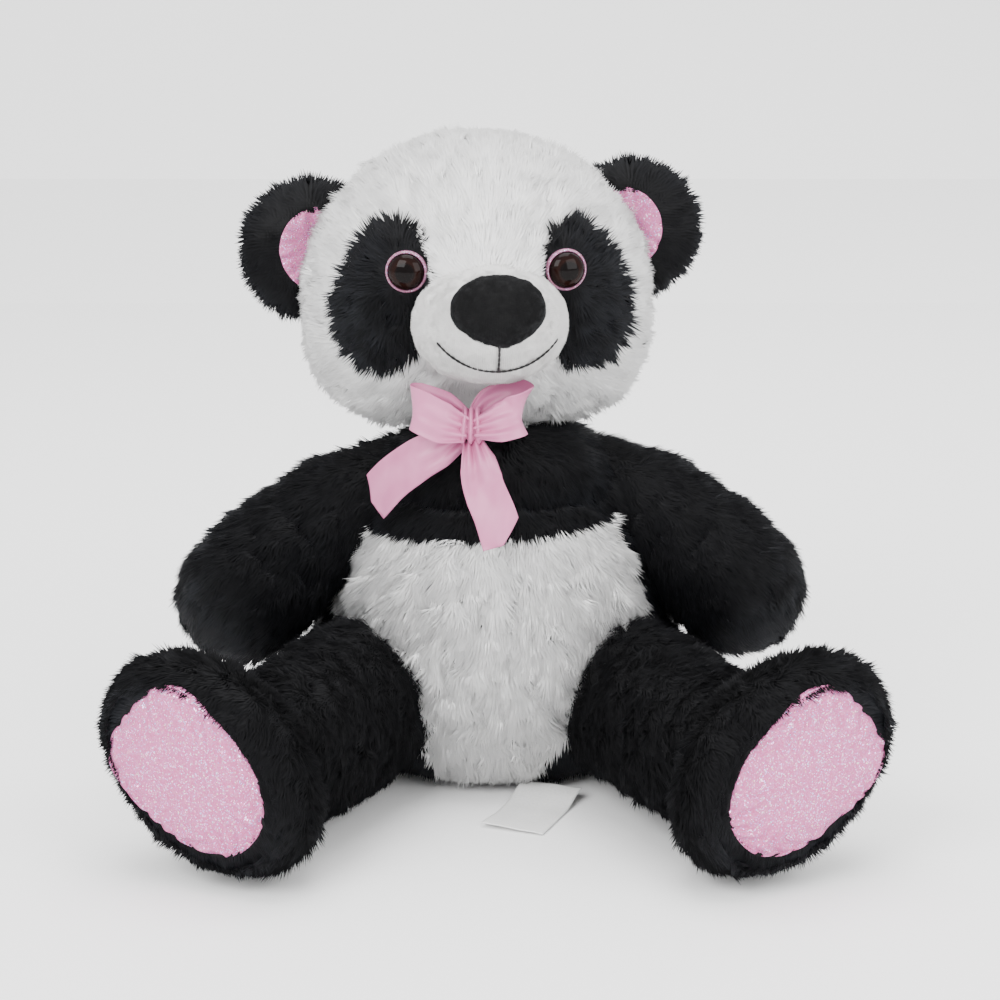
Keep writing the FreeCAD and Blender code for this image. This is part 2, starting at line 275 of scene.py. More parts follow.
def addRange(tree, source, *limits):
    spread = addNode(tree, "ShaderNodeMapRange")
    for socket, value in zip(spread.inputs[1:5], limits):
        socket.default_value = value
    tree.links.new(source, spread.inputs["Value"])
    return spread.outputs["Result"]


def addBump(tree, shader, height, strength, distance):
    bump = addNode(tree, "ShaderNodeBump")
    setInputs(bump, Strength=strength, Distance=distance)
    tree.links.new(height, bump.inputs["Height"])
    tree.links.new(bump.outputs["Normal"], shader.inputs["Normal"])


def furMaterial(name, root, tip, locks, sheen, sheenTint, roughness):
    material, tree, shader = newMaterial(name)
    # colour along each lock: the darker root colour is painted shade deep in the pile, the tip colour is the
    # fur's own
    along = addNode(tree, "ShaderNodeAttribute", attribute_name="pile")
    ramp = addRamp(tree, [(0.0, root), (0.45, tuple((a + b) / 2 for a, b in zip(root, tip))), (1.0, tip)])
    tree.links.new(along.outputs["Fac"], ramp.inputs["Fac"])
    strand = addNode(tree, "ShaderNodeAttribute", attribute_name="strand")
    shade = addRamp(tree, [(0.25, locks[0]), (0.75, locks[1])])
    tree.links.new(addCloud(tree, 95.0, 3.0), shade.inputs["Fac"])
    tint = addRamp(tree, [(0.0, locks[0]), (1.0, (1, 1, 1))])
    tree.links.new(strand.outputs["Fac"], tint.inputs["Fac"])
    first = mixColour(tree, ramp.outputs["Color"], shade.outputs["Color"], 0.6, "MULTIPLY")
    colour = mixColour(tree, first, tint.outputs["Color"], 0.5, "MULTIPLY")
    tree.links.new(colour, shader.inputs["Base Color"])
    setInputs(shader, Roughness=roughness, Sheen_Weight=sheen, Sheen_Roughness=0.45)
    shader.inputs["Sheen Tint"].default_value = (*sheenTint, 1)
    shader.inputs["Specular IOR Level"].default_value = 0.16
    return material


# in each fur below, root is painted shade at the base of the locks and tip is the fur's own colour
whiteFur = furMaterial("whiteFur", root=(0.86, 0.855, 0.845), tip=(0.985, 0.98, 0.97),
                       locks=((0.92, 0.92, 0.925), (1.0, 1.0, 1.0)), sheen=0.3,
                       sheenTint=(1, 1, 1), roughness=0.75)
blackFur = furMaterial("blackFur", root=(0.001, 0.001, 0.0015), tip=(0.0065, 0.0065, 0.008),
                       locks=((0.55, 0.56, 0.62), (1.0, 1.0, 1.0)), sheen=0.03,
                       sheenTint=(0.55, 0.60, 0.72), roughness=0.6)
muzzlePile = furMaterial("muzzlePile", root=(0.66, 0.65, 0.64), tip=(0.86, 0.85, 0.835),
                         locks=((0.90, 0.90, 0.90), (1.0, 1.0, 1.0)), sheen=0.2, sheenTint=(1, 1, 1),
                         roughness=0.85)
nosePile = furMaterial("nosePile", root=(0.002, 0.002, 0.002), tip=(0.009, 0.009, 0.010),
                       locks=((0.6, 0.6, 0.62), (1.0, 1.0, 1.0)), sheen=0.03, sheenTint=(0.6, 0.62, 0.7),
                       roughness=0.8)


def plainCloth(name, colour, dark, scale, depth, sheen, roughness):
    material, tree, shader = newMaterial(name)
    grain = addCloud(tree, scale, 4.0, 0.65)
    ramp = addRamp(tree, [(0.3, dark), (0.7, colour)])
    tree.links.new(addCloud(tree, 60.0, 2.0), ramp.inputs["Fac"])
    fine = addRamp(tree, [(0.35, (0.82, 0.82, 0.82)), (0.65, (1, 1, 1))])
    tree.links.new(grain, fine.inputs["Fac"])
    tree.links.new(mixColour(tree, ramp.outputs["Color"], fine.outputs["Color"], 0.6, "MULTIPLY"),
                   shader.inputs["Base Color"])
    addBump(tree, shader, grain, depth, 0.0012)
    setInputs(shader, Roughness=roughness, Sheen_Weight=sheen, Sheen_Roughness=0.4)
    shader.inputs["Sheen Tint"].default_value = (1, 1, 1, 1)
    shader.inputs["Specular IOR Level"].default_value = 0.12
    return material


darkThread = plainCloth("darkThread", (0.03, 0.028, 0.03), (0.015, 0.014, 0.015), 2500.0, 0.5, 0.1, 0.5)
fibreFill = plainCloth("fibreFill", (0.85, 0.85, 0.85), (0.7, 0.7, 0.7), 300.0, 1.0, 0.3, 0.9)
whiteSatin = plainCloth("whiteSatin", (0.86, 0.86, 0.85), (0.80, 0.80, 0.79), 700.0, 0.08, 0.2, 0.42)
print("materials: cloths")


def glitterGroup():                # colour flecks, a mask of bright flecks and a fleck bump
    group = bpy.data.node_groups.new("glitterFlecks", "ShaderNodeTree")
    face = group.interface
    face.new_socket("Scale", in_out="INPUT", socket_type="NodeSocketFloat")
    face.new_socket("Base", in_out="INPUT", socket_type="NodeSocketColor")
    face.new_socket("Color", in_out="OUTPUT", socket_type="NodeSocketColor")
    face.new_socket("Mask", in_out="OUTPUT", socket_type="NodeSocketFloat")
    face.new_socket("Height", in_out="OUTPUT", socket_type="NodeSocketFloat")
    entry = group.nodes.new("NodeGroupInput")
    leave = group.nodes.new("NodeGroupOutput")
    place = group.nodes.new("ShaderNodeTexCoord")
    cells = group.nodes.new("ShaderNodeTexVoronoi")
    group.links.new(place.outputs["Object"], cells.inputs["Vector"])
    group.links.new(entry.outputs["Scale"], cells.inputs["Scale"])
    split = group.nodes.new("ShaderNodeSeparateColor")
    group.links.new(cells.outputs["Color"], split.inputs["Color"])
    film = addRamp(group, [(0.0, (0.90, 0.38, 0.60)), (0.35, (0.66, 0.42, 0.88)), (0.6, (0.98, 0.62, 0.78)),
                           (0.8, (0.45, 0.55, 0.95)), (1.0, (0.98, 0.78, 0.62))])
    group.links.new(split.outputs["Red"], film.inputs["Fac"])
    bright = addRange(group, split.outputs["Green"], 0.80, 0.93, 0.0, 1.0)
    weak = addRange(group, split.outputs["Blue"], 0.0, 1.0, 0.0, 0.22)
    soft = mixColour(group, entry.outputs["Base"], film.outputs["Color"], weak)
    group.links.new(mixColour(group, soft, film.outputs["Color"], bright), leave.inputs["Color"])
    group.links.new(bright, leave.inputs["Mask"])
    group.links.new(split.outputs["Blue"], leave.inputs["Height"])
    return group


glitterFlecks = glitterGroup()


def glitterMaterial(name, base, scale, roughness, coat, depth):
    material, tree, shader = newMaterial(name)
    flecks = addNode(tree, "ShaderNodeGroup", node_tree=glitterFlecks)
    setInputs(flecks, Scale=scale)
    flecks.inputs["Base"].default_value = (*base, 1)
    tree.links.new(flecks.outputs["Color"], shader.inputs["Base Color"])
    shine = addRange(tree, flecks.outputs["Mask"], 0.0, 1.0, roughness, roughness * 0.45)
    tree.links.new(shine, shader.inputs["Roughness"])
    metal = addRange(tree, flecks.outputs["Mask"], 0.0, 1.0, 0.05, 0.8)
    tree.links.new(metal, shader.inputs["Metallic"])
    addBump(tree, shader, flecks.outputs["Height"], depth, 0.0004)
    setInputs(shader, Coat_Weight=coat, Coat_Roughness=0.15)
    return material


pinkGlitter = glitterMaterial("pinkGlitter", (0.50, 0.09, 0.25), 1500.0, 0.6, 0.0, 0.5)
ringGlitter = glitterMaterial("ringGlitter", (0.20, 0.04, 0.08), 2600.0, 0.4, 0.1, 0.4)


def satinMaterial():
    material, tree, shader = newMaterial("pinkSatin")
    flat = addNode(tree, "ShaderNodeUVMap", uv_map="weave")
    ribs = addNode(tree, "ShaderNodeTexWave", wave_type="BANDS", bands_direction="Y")
    setInputs(ribs, Scale=110.0, Distortion=0.6, Detail=1.0)
    tree.links.new(flat.outputs["UV"], ribs.inputs["Vector"])
    cloud = addNode(tree, "ShaderNodeTexNoise")
    setInputs(cloud, Scale=5.0, Detail=2.0)
    tree.links.new(flat.outputs["UV"], cloud.inputs["Vector"])
    ramp = addRamp(tree, [(0.3, (0.48, 0.13, 0.27)), (0.7, (0.58, 0.19, 0.35))])
    tree.links.new(cloud.outputs["Fac"], ramp.inputs["Fac"])
    tree.links.new(ramp.outputs["Color"], shader.inputs["Base Color"])
    addBump(tree, shader, ribs.outputs["Fac"], 0.12, 0.0002)
    setInputs(shader, Roughness=0.34, Sheen_Weight=0.12, Sheen_Roughness=0.3, Anisotropic=0.4)
    shader.inputs["Sheen Tint"].default_value = (1.0, 0.85, 0.92, 1)
    return material


pinkSatin = satinMaterial()


def domeMaterial():
    material, tree, shader = newMaterial("eyeDome")
    place = addNode(tree, "ShaderNodeAttribute", attribute_name="fromMiddle")
    ramp = addRamp(tree, [(0.0, (0.002, 0.001, 0.001)), (0.48, (0.003, 0.002, 0.002)),
                          (0.62, (0.011, 0.004, 0.003)), (1.0, (0.005, 0.002, 0.002))])
    tree.links.new(place.outputs["Fac"], ramp.inputs["Fac"])
    tree.links.new(ramp.outputs["Color"], shader.inputs["Base Color"])
    setInputs(shader, Roughness=0.06)
    shader.inputs["Specular IOR Level"].default_value = 0.10
    return material


eyeDome = domeMaterial()
print("materials: glitter, satin and eyes")


# every little face of a form becomes one lock of pile

def sphereMap(point):              # a plain wrap-around chart, kept as the OFBake UV map
    radius = max(1e-6, point.length)
    return (math.atan2(point.y, point.x) / (2 * math.pi) + 0.5,
            math.asin(max(-1, min(1, point.z / radius))) / math.pi + 0.5)


def growFur(mesh, coat, keep=None, middle=Vector((0, 0, 0))):
    bm = editable(mesh)
    if keep is not None:
        cut = [face for face in bm.faces if not keep(face.calc_center_median())]
        bmesh.ops.delete(bm, geom=cut, context="FACES")
    # pile runs from 0 at a lock's root to 1 at its tip; the fur finishes use it to paint shade at the roots
    pile = bm.verts.layers.float.new("pile")
    strand = bm.verts.layers.float.new("strand")
    chart = bm.loops.layers.uv.new("OFBake")
    bm.normal_update()
    chance = random.Random(coat["seed"])
    for vert in bm.verts:
        vert[strand] = 0.5
    tips = bmesh.ops.poke(bm, faces=bm.faces[:], center_mode="MEAN")["verts"]
    bm.normal_update()
    for face in bm.faces:
        marks = [sphereMap(loop.vert.co - middle) for loop in face.loops]
        wide = max(mark[0] for mark in marks) - min(mark[0] for mark in marks) > 0.5
        for loop, (across, up) in zip(face.loops, marks):
            loop[chart].uv = (across + 1 if wide and across < 0.5 else across, up)
    ends = []
    for tip in tips:
        root = tip.co.copy()
        out = tip.normal
        flow = flatten(coat["flow"](root), out)
        if flow.length > 1e-6:
            flow.normalize()
        swirl = noise.noise_vector(root / coat["lockSize"]) * coat["curl"]
        fine = noise.noise_vector(root / coat["lockSize"] * 3.1) * coat["curl"] * 0.6
        way = out * coat["stand"] + flow * coat["lie"] + flatten(swirl + fine, out)
        way.normalize()
        long = coat["length"](root) * (0.85 + 0.35 * noise.noise(root / 6.0)) * chance.uniform(0.85, 1.12)
        end = root + way * long
        end.z = max(end.z, coat.get("floor", end.z))
        ends.append((tip, end))
        tip[pile] = 1.0
        tip[strand] = chance.random()
    for tip, end in ends:
        tip.co = end
    return meshFrom(bm, "fur")


# the head: its white panels and black patches grow on one form

head = dict(turn=4.5, halfWidth=99.0, halfDepth=83.5, halfHeight=83.5, voxel=1.4, jowls=3.2,
            patchMiddle=(56.0, 0.5), patchHalf=(25.5, 41.5), patchLean=12.0,
            stripHalf=36.0, seamY=12.0, pile=12.0, patchPile=13.0, clipped=(10.0, 23.0))
headMiddle = middleOf("cheek_left", "cheek_right", "head_back_left", "head_back_right", "face_strip")
headMiddle += Vector((-3.5, -headMiddle.y, -2))
headPlace = Matrix.Translation(headMiddle) @ Matrix.Rotation(math.radians(head["turn"]), 4, "Z")
toHead = headPlace.inverted()
noseTip = Vector((3.0, -118.0, 0.0))
eyeMiddles = {side: toHead @ middleOf("eye_ring_" + side) + Vector((-3, 0, -1.5)) for side in sides}


def patchShare(point, side):       # under 1 inside the eye patch, which is fuller low down
    lean = math.radians(head["patchLean"]) * sides[side]
    x = point.x - head["patchMiddle"][0] * sides[side]
    z = point.z - head["patchMiddle"][1]
    across = x * math.cos(lean) + z * math.sin(lean)
    up = -x * math.sin(lean) + z * math.cos(lean)
    half = head["patchHalf"][0] * (1.0 - 0.16 * up / head["patchHalf"][1])
    ragged = 0.05 * noise.noise(point / 4.0)
    return math.hypot(across / half, up / head["patchHalf"][1]) + ragged


def inPatch(point, side):
    return point.y < 0 and patchShare(point, side) < 1


def eyeClear(point):               # 0 at an eye, 1 away from it: the pile is clipped round the eyes
    near = min((point - each).length for each in eyeMiddles.values())
    return smoothStep(*head["clipped"], near)


def headFlow(point):
    away = (point - noseTip).normalized()
    return away + Vector((0, 0, -0.35 if point.y > -20 else 0.05))


def headLength(point):
    near = min(patchShare(point, side) for side in sides) if point.y < 0 else 2.0
    return head["pile"] * (0.30 + 0.70 * eyeClear(point)) * (0.45 + 0.55 * smoothStep(1.0, 1.3, near))


def patchFlow(side):
    middle = Vector((head["patchMiddle"][0] * sides[side], -75, head["patchMiddle"][1] + 6))

    def flow(point):
        return (point - middle).normalized() + Vector((0.25 * sides[side], 0, -0.2))
    return flow


def headSeam(point):
    if point.y < head["seamY"]:
        return abs(abs(point.x) - head["stripHalf"]) < seamHalf or abs(point.y - head["seamY"]) < seamHalf
    return abs(point.x) < seamHalf


def headForm():
    bm = bmesh.new()
    addEgg(bm, (0, 0, 0), (head["halfWidth"], head["halfDepth"], head["halfHeight"]), subdivisions=6)
    for vert in bm.verts:          # square jowls below, a narrower crown above
        across, up = vert.co.x / head["halfWidth"], vert.co.z / head["halfHeight"]
        power = 2 + (head["jowls"] - 2) * smoothStep(0.1, -0.5, up)
        edge = math.hypot(across, up)
        if edge > 1e-6:
            square = (abs(across / edge) ** power + abs(up / edge) ** power) ** (-1 / power)
            vert.co.x *= 1 + (square - 1) * edge
            vert.co.z *= 1 + (square - 1) * edge
        vert.co.x *= 1 + 0.03 * smoothStep(0.1, -0.3, up) - 0.045 * smoothStep(0.05, 0.6, up)
        vert.co.z *= 1 + 0.03 * smoothStep(-0.3, -0.9, up)
    return coarseForm(bm, headSeam, head["voxel"])


headBase = headForm()
whiteCoat = dict(flow=headFlow, length=headLength, stand=0.46, lie=0.85, curl=0.7, lockSize=12.0, seed=3)
headPanels = {
    "face_strip": lambda p: p.y < head["seamY"] and abs(p.x) < head["stripHalf"],
    "cheek_left": lambda p: p.y < head["seamY"] and p.x >= head["stripHalf"],
    "cheek_right": lambda p: p.y < head["seamY"] and p.x <= -head["stripHalf"],
    "head_back_left": lambda p: p.y >= head["seamY"] and p.x >= 0,
    "head_back_right": lambda p: p.y >= head["seamY"] and p.x < 0,
}


def offPatches(panel):
    return lambda p: panel(p) and not inPatch(p, "left") and not inPatch(p, "right")


for node, panel in headPanels.items():
    made = growFur(headBase, whiteCoat, offPatches(panel))
    piece = makePiece(made, node + "_fur", "head", whiteFur, [node], headPlace)
for side in sides:
    coat = dict(flow=patchFlow(side), length=lambda p: head["patchPile"] * (0.25 + 0.75 * eyeClear(p)),
                stand=0.55, lie=0.65, curl=0.8, lockSize=8.0, seed=5)
    made = growFur(headBase, coat, lambda p: inPatch(p, side))
    piece = makePiece(made, "eye_patch_" + side + "_fur", "head", blackFur,
                      ["eye_patch_" + side], headPlace)
print("head: fur panels and eye patches")


# muzzle and nose in short velvet, the mouth in thread

muzzle = dict(middle=Vector((2, -77, -14)), half=Vector((45, 45, 35)), voxel=1.1, pile=2.0)
nose = dict(middle=Vector((4.5, -112, -2.0)), half=Vector((26.7, 18.7, 21.2)), voxel=0.9, pile=0.9)
mouth = dict(radius=44.5, lowest=-36.0, halfAngle=51.0, stitch=3.4, thread=0.75)


def muzzleForm():
    bm = bmesh.new()
    addEgg(bm, muzzle["middle"], muzzle["half"], subdivisions=6)
    addEgg(bm, muzzle["middle"] + Vector((0, 22, 20)), (34, 30, 26))
    form = editable(evenForm(bm, muzzle["voxel"], 30))
    for vert in form.verts:        # a soft dart under the nose and a little unevenness
        dx = vert.co.x - nose["middle"].x
        dart = 1.3 * math.exp(-(dx / 2.2) ** 2) * smoothStep(-14, -24, vert.co.z)
        if vert.co.y < -95:
            vert.co.y += dart
        vert.co += vert.normal * 0.9 * noise.noise(vert.co / 19.0)
    return meshFrom(form, "muzzle")


velvet = dict(flow=lambda p: Vector((0, -0.2, -1)), length=lambda p: muzzle["pile"], stand=0.7,
              lie=0.5, curl=0.9, lockSize=7.0, seed=19)
made = growFur(muzzleForm(), velvet, None, muzzle["middle"])
piece = makePiece(made, "muzzle_velvet", "head", muzzlePile, ["muzzle_cover"], headPlace)


def noseForm():
    bm = bmesh.new()
    addEgg(bm, (0, 0, 0), nose["half"], subdivisions=5)
    form = editable(evenForm(bm, nose["voxel"], 4))
    for vert in form.verts:        # broad above, narrower below, with a few soft creases
        high = vert.co.z / nose["half"].z
        vert.co.x *= 1.0 + 0.07 * high - 0.10 * smoothStep(0.1, -1.0, high)
        crease = noise.noise(Vector((vert.co.x / 7.0, 3.0, vert.co.z / 16.0)))
        vert.co += vert.normal * (0.9 * crease + 0.35 * noise.noise(vert.co / 3.5))
    bmesh.ops.translate(form, vec=nose["middle"], verts=form.verts)
    return meshFrom(form, "nose")


noseCoat = dict(velvet, length=lambda p: nose["pile"], lockSize=4.0)
made = growFur(noseForm(), noseCoat, None, nose["middle"])
piece = makePiece(made, "nose_velvet", "head", nosePile, ["nose_cover"], headPlace)


def onMuzzle(x, z, lift):
    dx, dz = (x - muzzle["middle"].x) / muzzle["half"].x, (z - muzzle["middle"].z) / muzzle["half"].z
    depth = math.sqrt(max(0.02, 1 - dx * dx - dz * dz))
    return Vector((x, muzzle["middle"].y - muzzle["half"].y * depth - lift, z))


def stitchRow(bm, route, thread):  # short plump stitches end to end along a route
    for start, end in zip(route, route[1:]):
        along = end - start
        turn = along.to_track_quat("Z", "Y").to_matrix()
        made = bmesh.ops.create_uvsphere(bm, u_segments=8, v_segments=6, radius=1)["verts"]
        bmesh.ops.scale(bm, vec=(thread, thread, along.length * 0.62), verts=made)
        bmesh.ops.rotate(bm, cent=(0, 0, 0), matrix=turn, verts=made)
        bmesh.ops.translate(bm, vec=(start + end) / 2, verts=made)


def mouthForm():
    bm = bmesh.new()
    middleX, middleZ = nose["middle"].x, mouth["lowest"] + mouth["radius"]
    count = round(2 * math.radians(mouth["halfAngle"]) * mouth["radius"] / mouth["stitch"])
    route = []
    for step in range(count + 1):
        angle = math.radians(mouth["halfAngle"]) * (2 * step / count - 1)
        x = middleX + mouth["radius"] * math.sin(angle)
        route.append(onMuzzle(x, middleZ - mouth["radius"] * math.cos(angle), 1.7))
    stitchRow(bm, route, mouth["thread"])
    rows = [onMuzzle(middleX, mouth["lowest"] + 3.2 * step, 1.2) for step in range(8)]
    stitchRow(bm, rows, mouth["thread"])
    return meshFrom(bm, "mouth")


makePiece(mouthForm(), "mouth_stitches", "head", darkThread, ["mouth_thread"], headPlace)
print("muzzle, nose and mouth")


# the eyes: a glitter rim round a dark dome

eye = dict(ring=12.5, dome=10.6, rise=6.2, splay=12.0)


def eyeRingForm():
    bm = bmesh.new()               # a rounded section spun round the eye's own axis
    profile = [(eye["dome"] - 0.3, -3.0), (eye["dome"] - 0.1, 0.4), (eye["dome"] + 0.6, 1.0),
               (eye["ring"] - 0.7, 0.6), (eye["ring"], -0.5), (eye["ring"] - 0.3, -3.0)]
    verts = [bm.verts.new((radius, -rise, 0)) for radius, rise in profile]
    edges = [bm.edges.new(pair) for pair in zip(verts, verts[1:] + verts[:1])]
    bmesh.ops.spin(bm, geom=verts + edges, cent=(0, 0, 0), axis=(0, 1, 0), angle=2 * math.pi, steps=64,
                   use_merge=True)
    bmesh.ops.remove_doubles(bm, verts=bm.verts, dist=0.001)
    bmesh.ops.recalc_face_normals(bm, faces=bm.faces)
    return bake(meshFrom(bm, "ring"), [("SUBSURF", dict(levels=1, render_levels=1))])


def eyeDomeForm():
    bm = bmesh.new()
    bmesh.ops.create_uvsphere(bm, u_segments=64, v_segments=40, radius=1)
    bmesh.ops.rotate(bm, cent=(0, 0, 0), matrix=Matrix.Rotation(math.pi / 2, 3, "X"), verts=bm.verts)
    bmesh.ops.scale(bm, vec=(eye["dome"], eye["rise"], eye["dome"]), verts=bm.verts)
    for vert in bm.verts:
        if vert.co.y > 2.5:
            vert.co.y = 2.5
    shade = bm.verts.layers.float.new("fromMiddle")
    for vert in bm.verts:
        vert[shade] = math.hypot(vert.co.x, vert.co.z) / eye["dome"]
    return meshFrom(bm, "dome")


for side, sign in sides.items():
    place = headPlace @ Matrix.Translation(eyeMiddles[side] + Vector((0, 0.4, 0))) @ \
        Matrix.Rotation(math.radians(eye["splay"]) * sign, 4, "Z")
    makePiece(eyeRingForm(), "eye_rim_" + side, "head", ringGlitter, ["eye_ring_" + side],
              place)
    makePiece(eyeDomeForm(), "eye_lens_" + side, "head", eyeDome, ["eye_dome_" + side], place)
print("eyes")


# the ears: a furred shell round a dish of glitter cloth

ear = dict(radius=38.5, thick=9.0, lining=26.0, cup=7.0, inward=7.0, voxel=1.6, pile=10.5)
earMiddles = {"left": Vector((94, 10, 27)), "right": Vector((-99, 10, 17))}


def earForm():
    bm = bmesh.new()
    addEgg(bm, (0, 0, 0), (ear["radius"], ear["thick"], ear["radius"]), subdivisions=5)
    for vert in bm.verts:          # the front is cupped like a spoon
        reach = math.hypot(vert.co.x, vert.co.z) / ear["radius"]
        if vert.co.y < 0:
            vert.co.y += ear["cup"] * smoothStep(0.85, 0.2, reach)
            vert.co.y = min(vert.co.y, 4)
        vert.co.y -= 3.0 * reach * reach
    return evenForm(bm, ear["voxel"], 3)


def liningForm():                  # a shallow dish of glitter cloth set into the front of the ear
    bm = bmesh.new()
    bmesh.ops.create_grid(bm, x_segments=44, y_segments=44, size=1)
    for vert in bm.verts:          # square to disc
        x, y = vert.co.x, vert.co.y
        vert.co.x, vert.co.y = x * math.sqrt(1 - y * y / 2), y * math.sqrt(1 - x * x / 2)
    bmesh.ops.rotate(bm, cent=(0, 0, 0), matrix=Matrix.Rotation(math.pi / 2, 3, "X"), verts=bm.verts)
    bmesh.ops.scale(bm, vec=(ear["lining"], 1, ear["lining"]), verts=bm.verts)
    for vert in bm.verts:
        reach = math.hypot(vert.co.x, vert.co.z) / ear["lining"]
        angle = math.atan2(vert.co.z, vert.co.x)
        pucker = 0.8 * math.sin(angle * 17 + 3 * noise.noise(vert.co / 9.0)) * smoothStep(0.6, 1.0, reach)
        vert.co.y = -2.6 - 4.5 * smoothStep(0.1, 1.0, reach) + pucker + 1.2 * noise.noise(vert.co / 11.0)
    bmesh.ops.recalc_face_normals(bm, faces=bm.faces)
    if sum(face.normal.y for face in bm.faces) > 0:
        bmesh.ops.reverse_faces(bm, faces=bm.faces)
    return bake(meshFrom(bm, "lining"), [("SOLIDIFY", dict(thickness=0.8, offset=-1.0))])


def earFlow(point):
    out = Vector((point.x, 0, point.z))
    return out.normalized() + Vector((0, 0.5 if point.y > 0 else -0.05, -0.1))


def earLength(point):
    reach = math.hypot(point.x, point.z)
    front = point.y < 1.0
    rim = smoothStep(ear["lining"] - 2, ear["radius"] - 4, reach)
    return ear["pile"] * (0.35 + 0.65 * rim) if front else ear["pile"]


for side, sign in sides.items():
    place = headPlace @ Matrix.Translation(earMiddles[side])
    coat = dict(flow=earFlow, length=earLength, stand=0.5, lie=0.7, curl=0.6, lockSize=9.0, seed=7)
    centre = Vector((-ear["inward"] * sign, 0, 0))
    made = growFur(earForm(), coat,
                   lambda p: p.y >= 0.5 or math.hypot(p.x - centre.x, p.z) >= ear["lining"] - 3)
    piece = makePiece(made, "ear_pile_" + side, "ear_" + side, blackFur,
                      ["ear_fur_" + side], place)
    makePiece(liningForm(), "ear_dish_" + side, "ear_" + side, pinkGlitter,
              ["ear_lining_" + side], place @ Matrix.Translation(centre))
print("ears")


# the torso: a white belly panel between black ones

torso = dict(radius=106.0, halfHeight=118.0, middle=85.0, floor=4.5, voxel=1.5, backY=25.0,
             beltTop=160.0, seatTop=8.0, pile=13.5, seatPile=7.0,
             bellySide=[(-5, 26), (20, 32), (45, 48), (70, 66), (95, 83), (114, 91), (135, 86), (160, 72)])


def bellyHalf(z):                  # half the white panel's width at a height
    outline = torso["bellySide"]
    for (low, lowHalf), (high, highHalf) in zip(outline, outline[1:]):
        if z <= high:
            return lowHalf + (highHalf - lowHalf) * smoothStep(low, high, z)
    return outline[-1][1]


def torsoSeam(point):
    if point.z < 12:
        return True
    if point.y > 0:
        return abs(point.x) < seamHalf or abs(point.y - torso["backY"]) < seamHalf
    return point.z < 170 and abs(abs(point.x) - bellyHalf(point.z)) < seamHalf


def torsoForm():
    bm = bmesh.new()
    addEgg(bm, (0, 0, torso["middle"]), (torso["radius"], torso["radius"], torso["halfHeight"]),
           subdivisions=6)
    addEgg(bm, (0, -4, 178), (70, 66, 34))
    for vert in bm.verts:
        vert.co.z = max(vert.co.z, torso["floor"])
    form = coarseForm(bm, torsoSeam, torso["voxel"])
    for vert in form.vertices:
        vert.co.z = max(vert.co.z, torso["floor"] - 2)
    return form


def inBelly(point):
    wobble = 1.6 * noise.noise(point / 5.0)
    top = torso["beltTop"] + 2.0 * noise.noise(point / 6.0) + 0.05 * point.x
    return point.y < -20 and point.z < top and abs(point.x + 5) < bellyHalf(point.z) + wobble


def torsoFlow(point):
    return Vector((point.x * 0.003, 0.0, -1.0))


def torsoLength(point):
    return torso["pile"] if point.z > 14 else torso["seatPile"]


torsoBase = torsoForm()
torsoPanels = {
    "belly_panel": inBelly,
    "seat_panel": lambda p: not inBelly(p) and p.z < torso["seatTop"],
    "chest_panel": lambda p: not inBelly(p) and p.y < 0 and abs(p.x) < 72 and p.z > 140,
    "back_panel_left": lambda p: p.z >= torso["seatTop"] and p.y >= torso["backY"] and p.x >= 0,
    "back_panel_right": lambda p: p.z >= torso["seatTop"] and p.y >= torso["backY"] and p.x < 0,
}


def inFlank(sign):
    def inside(p):
        taken = any(panel(p) for panel in torsoPanels.values())
        return not taken and p.x * sign > 0
    return inside


for node, panel in list(torsoPanels.items()) + [("flank_left", inFlank(1)), ("flank_right", inFlank(-1))]:
    white = node == "belly_panel"
    coat = dict(flow=torsoFlow, length=torsoLength, stand=0.40, lie=0.88, curl=0.85 if white else 0.6,
                lockSize=13.0 if white else 10.0, seed=11, floor=0.7)
    made = growFur(torsoBase, coat, panel, Vector((0, 0, torso["middle"])))
    piece = makePiece(made, node + "_fur", "torso", whiteFur if white else blackFur,
                      [node])
print("torso")


# the arms and the legs

arm = dict(voxel=1.55, pile=12.5, outward=dict(left=0, right=8), sag=dict(left=-1, right=4),
           stations=[((58, 2, 168), 30), ((94, -14, 156), 34), ((126, -34, 136), 36), ((144, -50, 119), 37)])
leg = dict(voxel=1.55, pile=13.0,
           stations=[((78, -58, 54), 47), ((108, -128, 54), 45), ((134, -186, 54), 42)],
           foot=Vector((152, -207, 65)), footHalf=68.0, footRadius=46.0, lean=50.0, yaw=25.0, sole=35.0)


def mirrored(point, sign):
    return Vector((point[0] * sign, point[1], point[2]))


def limbForm(settings, sign):
    bm = bmesh.new()
    addLimb(bm, [(mirrored(place, sign), radius) for place, radius in settings["stations"]])
    return bm


def limbWay(settings, sign):       # from a limb's root to its end
    return mirrored(settings["stations"][-1][0], sign) - mirrored(settings["stations"][0][0], sign)


for side, sign in sides.items():
    # one arm hangs a little wider and lower than the other
    root = jointPlace("arm_raise_" + side)
    bm = limbForm(arm, sign)
    for vert in bm.verts:
        share = smoothStep(0, 70, (vert.co.x - root.x) * sign)
        vert.co += Vector((arm["outward"][side] * sign, 0, -arm["sag"][side])) * share
    across = limbWay(arm, sign).cross(Vector((0, 0, 1))).normalized() * sign
    form = coarseForm(bm, lambda p: abs((p - root).dot(across)) < seamHalf, arm["voxel"])
    armWay = limbWay(arm, sign).normalized()
    coat = dict(flow=lambda p: armWay + Vector((0, 0, -0.45)), length=lambda p: arm["pile"], stand=0.42,
                lie=0.85, curl=0.6, lockSize=10.0, seed=13)
    for node, front in (("arm_front_fur_" + side, 1), ("arm_back_fur_" + side, -1)):
        made = growFur(form, coat, lambda p: (p - root).dot(across) * front >= 0, root)
        piece = makePiece(made, node.replace("_fur_", "_pile_"), "arm_" + side, blackFur,
                          [node])


